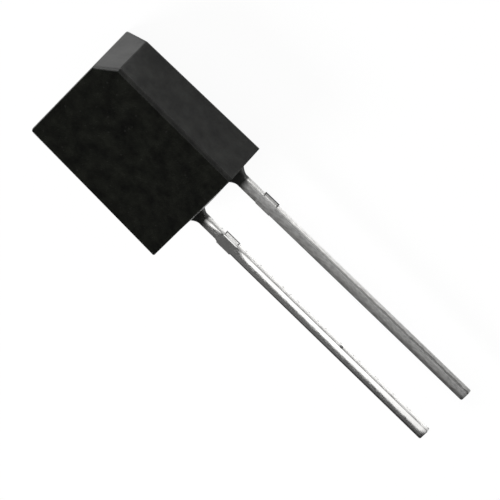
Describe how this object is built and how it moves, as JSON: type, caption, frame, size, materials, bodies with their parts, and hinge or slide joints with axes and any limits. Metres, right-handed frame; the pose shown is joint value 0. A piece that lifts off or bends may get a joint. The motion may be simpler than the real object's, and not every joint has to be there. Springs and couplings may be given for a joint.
{
  "type": "photodiode",
  "caption": "Side-looking photodiode: a small black epoxy block with one chamfered corner, a hidden silicon die behind its broad face, and straight flat solder-coated leads.",
  "frame": {"origin": "under the middle of the whole part's bounding box, on the plane the flat back rests on", "axes": "+X across the block towards its chamfered corner, +Y up the block away from the leads (the leads run to -Y), +Z out of the sensitive face"},
  "size_m": [0.005, 0.018, 0.0032],
  "materials": {
    "black_epoxy": "satin, cast",
    "solder_coated_lead": "dull solder coat",
    "silver_adhesive": "matt",
    "silicon": "polished",
    "gold": "bright"
  },
  "bodies": {
    "root": {"epoxy_body": "black_epoxy", "cathode_lead": "solder_coated_lead", "anode_lead": "solder_coated_lead", "die_attach": "silver_adhesive", "photodiode_die": "silicon", "bond_wire": "gold"}
  },
  "joints": []
}
